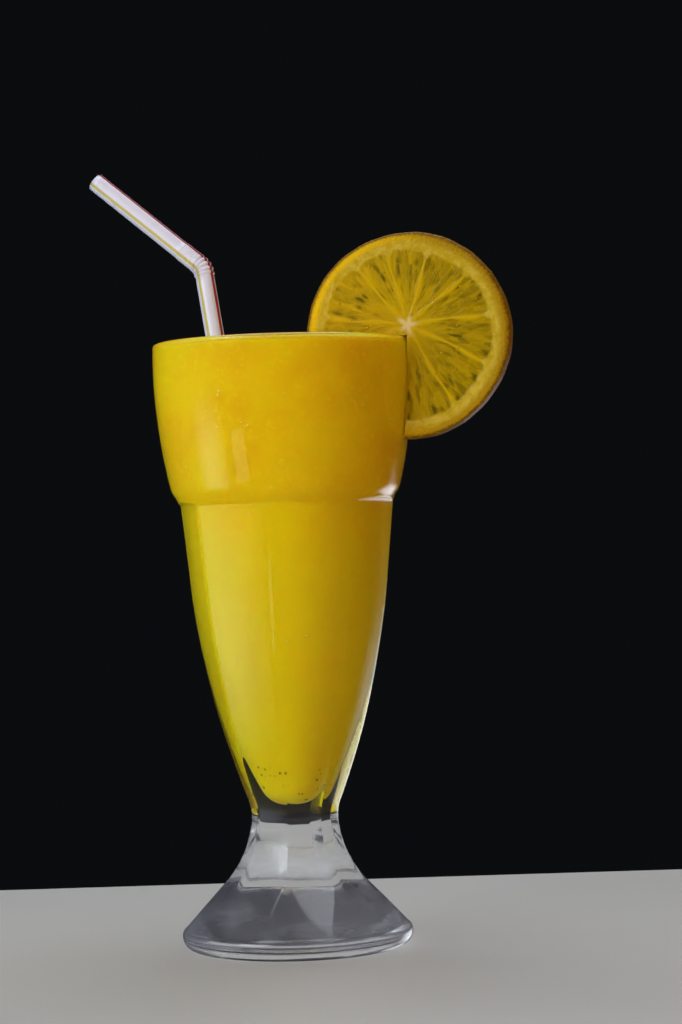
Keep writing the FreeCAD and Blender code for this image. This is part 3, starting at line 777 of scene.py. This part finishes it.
def sacs_of(points, seed):
    """Nearest and second nearest juice sac to each point, in a space squeezed along the sacs."""
    dice = np.random.default_rng(seed)
    from_core = points - np.array(SLICE_CORE)
    distance = np.hypot(*from_core.T)
    angle = np.arctan2(from_core[:, 1], from_core[:, 0])
    seeds_distance = SAC_REACH * np.sqrt(dice.uniform(0.01, 1, SAC_COUNT))
    seeds_angle = dice.uniform(-math.pi, math.pi, SAC_COUNT)
    cells = np.stack([seeds_distance * SAC_STRETCH, seeds_angle], -1)
    tones = dice.uniform(0, 1, SAC_COUNT)
    near = np.full(len(points), 1e9)
    second = np.full(len(points), 1e9)
    owner = np.zeros(len(points), int)
    for index, (cell_distance, cell_angle) in enumerate(cells):
        turn = (angle - cell_angle + math.pi) % (2 * math.pi) - math.pi
        away = np.hypot(distance * SAC_STRETCH - cell_distance, turn * np.maximum(distance, 2))
        closer = away < near
        second = np.where(closer, near, np.minimum(second, away))
        owner = np.where(closer, index, owner)
        near = np.where(closer, away, near)
    return near, second, tones[owner]


def slice_relief(points, seed):
    """What lies at each point of a cut face, as shares from 0 to 1, and its height."""
    dice = np.random.default_rng(seed)
    out = np.hypot(*points.T)
    around = np.arctan2(points[:, 1], points[:, 0])
    lobes = (0.35 * np.sin(3 * around + dice.uniform(0, 6)) + 0.25 * np.sin(7 * around + dice.uniform(0, 6))
             + 0.22 * ripples(points[:, 0], points[:, 1], seed + 7, 30, 1.5, 6.0))
    rind_edge = SLICE_RADIUS - RIND_WIDTH + 0.5 * lobes
    pith_edge = SLICE_RADIUS - RIND_WIDTH - PITH_WIDTH + lobes
    rind = np.clip((out - rind_edge) / 1.6 + 0.3, 0, 1)
    from_core = points - np.array(SLICE_CORE)
    distance = np.hypot(*from_core.T)
    angle = np.arctan2(from_core[:, 1], from_core[:, 0])
    membrane = np.zeros(len(points))
    corner = np.zeros(len(points))
    for degrees in MEMBRANE_ANGLES:
        lean = math.radians(degrees) + 0.02 * np.sin(distance / 4 + degrees)
        turn = (angle - lean + math.pi) % (2 * math.pi) - math.pi
        away = np.abs(np.sin(turn)) * distance + 9 * (np.abs(turn) > 1.5)
        width = MEMBRANE_HALF * (0.8 + 0.4 * np.sin(distance / 2.3 + degrees))
        membrane = np.maximum(membrane, np.clip(1.25 - away / (2 * width), 0, 1))
        corner = np.maximum(corner, np.exp(-(away / 1.5) ** 2))
    pith = np.clip((out - pith_edge + 1.8 * corner ** 2) / 0.9 + 0.2, 0, 1)
    core = np.clip(1.6 - distance / (1.9 + 0.7 * np.cos(5 * angle) + 0.3 * np.sin(3 * angle)), 0, 1)
    near, second, tone = sacs_of(points, seed + 1)
    ripe = np.clip((distance - 4) / 12, 0, 1)
    streaks = ripples(distance * HOLLOW_STRETCH, angle * HOLLOW_TURNS, seed + 3, 40, 1.6, 6.0)
    hollow = np.clip(streaks * 0.8 - 0.25, 0, 1) * ripe
    rim = np.clip(1 - (second - near) / 0.3, 0, 1)
    pale = np.clip(np.maximum(membrane, core), 0, 1) * (1 - pith)
    sac = (1 - pith) * (1 - pale)
    height = (0.09 * sac * np.clip((second - near) / 0.9, 0, 1) ** 0.6 - 0.13 * sac
              + 0.05 * pith + 0.05 * np.sin(out * 5 + around * 40) * pith * (1 - rind))
    skin = np.clip((out - SLICE_RADIUS + 1.9) / 1.2, 0, 1)
    return {"rind": rind, "pith": pith, "membrane": pale, "core": core, "tone": tone * ripe,
            "hollow": hollow * sac, "sac_rim": rim * sac, "skin": skin}, height


def slice_outline(around):
    """Slightly uneven outside radius of the fruit."""
    return (SLICE_RADIUS + 0.22 * np.sin(2 * around + 0.6) + 0.14 * np.sin(5 * around + 2)
            + 0.05 * np.sin(23 * around) - 0.25)


def slice_shape():
    """Vertices, faces and surface shares of the whole slice before it is slotted."""
    around = np.linspace(0, 2 * math.pi, SLICE_COLUMNS, endpoint=False)
    share = np.linspace(0.012, 1, SLICE_RINGS)
    reach = (slice_outline(around) - RIND_ROUND) * share[:, None]
    flat = np.stack([reach * np.cos(around), reach * np.sin(around)], -1).reshape(-1, 2)
    front_shares, front_height = slice_relief(flat, 11)
    back_shares, back_height = slice_relief(flat, 23)
    half = SLICE_THICKNESS / 2
    front = np.stack([flat[:, 0], -half - front_height, flat[:, 1]], -1)
    back = np.stack([flat[:, 0], half + back_height, flat[:, 1]], -1)

    bend = np.radians(np.linspace(0, 90, 6))[1:]
    outer = slice_outline(around)
    side = half + FACE_LIFT
    turned_in = [(outer - RIND_ROUND * (1 - math.sin(angle)), side - RIND_ROUND * (1 - math.cos(angle)))
                 for angle in bend]
    edge_rows = [(reach_out, -y) for reach_out, y in turned_in]
    edge_rows += [(outer, (side - RIND_ROUND) * step) for step in np.linspace(-1, 1, 8)[1:-1]]
    edge_rows += turned_in[::-1]
    edge = np.concatenate([np.stack([r * np.cos(around), np.full_like(r, y), r * np.sin(around)], -1)
                           for r, y in edge_rows])
    rings = SLICE_RINGS * 2 + len(edge_rows)
    back_rows = back.reshape(SLICE_RINGS, SLICE_COLUMNS, 3)[::-1].reshape(-1, 3)
    vertices = np.concatenate([front, edge, back_rows, [[0, -half + 0.2, 0], [0, half - 0.2, 0]]])
    faces = ring_faces(rings, SLICE_COLUMNS).tolist()
    last = (rings - 1) * SLICE_COLUMNS
    poles = len(vertices) - 2
    faces += [(poles, (i + 1) % SLICE_COLUMNS, i) for i in range(SLICE_COLUMNS)]
    faces += [(poles + 1, last + i, last + (i + 1) % SLICE_COLUMNS) for i in range(SLICE_COLUMNS)]
    shares = {}
    for name, values in front_shares.items():
        flipped = back_shares[name].reshape(SLICE_RINGS, SLICE_COLUMNS)[::-1].ravel()
        on_edge = np.full(len(edge), 1.0 if name in ("rind", "pith", "skin") else 0.0)
        shares[name] = np.concatenate([values, on_edge, flipped, [0, 0]])
    return vertices, faces, shares


def slice_finish():
    """Peel, rind, pith, membranes and juice sacs, each by its share at the point, with painted shade on the
    right.
    """
    finish, place = new_finish("citrus_flesh")

    def share(name):
        return place.node("ShaderNodeAttribute", {"attribute_name": name}, None, 2)

    fibre = place.noise(420.0, 4.0)
    pores = place.node("ShaderNodeTexVoronoi", None, {"Vector": place, "Scale": 900.0})
    # Painted shade: far rises towards +X, and the juice sacs are painted darker there, on the right, away
    # from the lamps on the left.
    far = place.node("ShaderNodeSeparateXYZ", None, {0: place}, 0).rise(0.02, 0.055)
    sac = (share("tone") * 0.6 + far * 0.4).blend(linear(206, 174, 0), linear(136, 116, 0))
    deep = (share("hollow") * 0.9).blend(sac, linear(84, 76, 0))
    lined = (share("sac_rim") * 0.5).blend(deep, linear(196, 166, 2))
    webbed = share("membrane").blend(lined, linear(208, 176, 4))
    cored = share("core").blend(webbed, linear(226, 206, 136))
    sponge = fibre.rise(0.3, 0.7).blend(linear(190, 164, 14), linear(208, 184, 60))
    spongy = share("pith").blend(cored, sponge)
    # The rind is painted darker towards the right too, as painted shade.
    flesh_side = share("rind").blend(spongy, far.blend(linear(236, 200, 0), linear(176, 142, 0)))
    freckles = pores.rise(0.25, 0.55) * 0.5
    peel = freckles.blend(linear(150, 112, 0), linear(86, 60, 0))
    tone = share("skin").blend(flesh_side, peel)
    grain = fibre * 0.6 + pores * share("rind") * 0.8
    relief = place.node("ShaderNodeBump", None, {"Strength": 0.5, "Distance": 0.0005, "Height": grain})
    wet = (1 - share("pith")) * (1 - share("skin"))
    show(place.node("ShaderNodeBsdfPrincipled", None, {
        "Base Color": tone, "Roughness": 0.3 + share("pith") * 0.2, "IOR": 1.38, "Normal": relief,
        "Specular IOR Level": 0.3, "Coat Weight": wet * 0.45, "Coat Roughness": 0.05,
        "Subsurface Weight": 0.35, "Subsurface Radius": (1.0, 0.6, 0.1), "Subsurface Scale": 0.003}))
    return finish


def slot_cutter():
    """Solid of the rim's wall with its clearance, in the slice's own frame."""
    top = GLASS_HEIGHT + SLOT_GAP
    left = [(r - SLOT_GAP, z) for r, z in trace(GLASS_INSIDE) if RIM_PART < z < RIM_EDGE - 0.9]
    right = [(r + SLOT_GAP, z) for r, z in trace(GLASS_OUTSIDE) if RIM_PART < z < RIM_EDGE - 0.9]
    outline = [(left[0][0], top)] + left + right + [(right[-1][0], top)]
    outline = np.array(outline) - np.array([SLICE_OUT, SLICE_UP])
    count = len(outline)
    near = np.insert(outline, 1, -SLOT_HALF, axis=1)
    far = np.insert(outline, 1, SLOT_HALF, axis=1)
    faces = [tuple(range(count)), tuple(range(2 * count - 1, count - 1, -1))]
    faces += [(i, i + count, (i + 1) % count + count, (i + 1) % count) for i in range(count)]
    return plain_object("slot_cutter", np.concatenate([near, far]), faces, False)


def make_slice():
    """The slice with its slot cut, turned and set on the rim."""
    vertices, faces, shares = slice_shape()
    whole = plain_object("citrus_cut", vertices, faces)
    for name, values in shares.items():
        layer = whole.data.attributes.new(name, "FLOAT", "POINT")
        layer.data.foreach_set("value", values.astype(np.float32))
    whole.data.materials.append(slice_finish())
    cutter = slot_cutter()
    cut = whole.modifiers.new("slot", "BOOLEAN")
    cut.object = cutter
    cut.operation = "DIFFERENCE"
    cut.solver = "EXACT"
    slotted = bpy.data.meshes.new_from_object(whole.evaluated_get(bpy.context.evaluated_depsgraph_get()))
    whole.modifiers.clear()
    whole.data = slotted
    bpy.data.objects.remove(cutter)
    slotted.transform(Matrix.Rotation(math.radians(SLICE_HEADING), 4, "Z")
                      @ Matrix.Translation((SLICE_OUT * MM, 0, SLICE_UP * MM)))
    return whole


def bead_places(count, side, seed):
    """Places of juice beads on one cut face clear of the slot, the way out there, and their sizes."""
    dice = np.random.default_rng(seed)
    turn = Matrix.Rotation(math.radians(SLICE_HEADING), 3, "Z")
    face_y = side * (SLICE_THICKNESS / 2 - BEAD_SINK)
    centres = []
    while len(centres) < count:
        x, z = dice.uniform(-26, 26, 2)
        in_slot = -6 < x < 3 and z < 2
        if math.hypot(x, z) > BEAD_REACH or in_slot:
            continue
        centres.append(turn @ Vector((SLICE_OUT + x, face_y, SLICE_UP + z)))
    outward = np.array(turn @ Vector((0, side, 0)))
    return np.array(centres), np.tile(outward, (count, 1)), 0.18 + 0.42 * dice.random(count) ** 3


citrus = make_slice()
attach(citrus, "root")
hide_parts("citrus_slice")
wet_places = merged(bead_places(90, -1, 61), bead_places(60, 1, 67))
beads = plain_object("juice_beads", *domes(*wet_places, 0.6))
beads.data.materials.append(bubble_finish("bead_juice", linear(196, 160, 0), linear(214, 182, 20)))
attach(beads, "root")
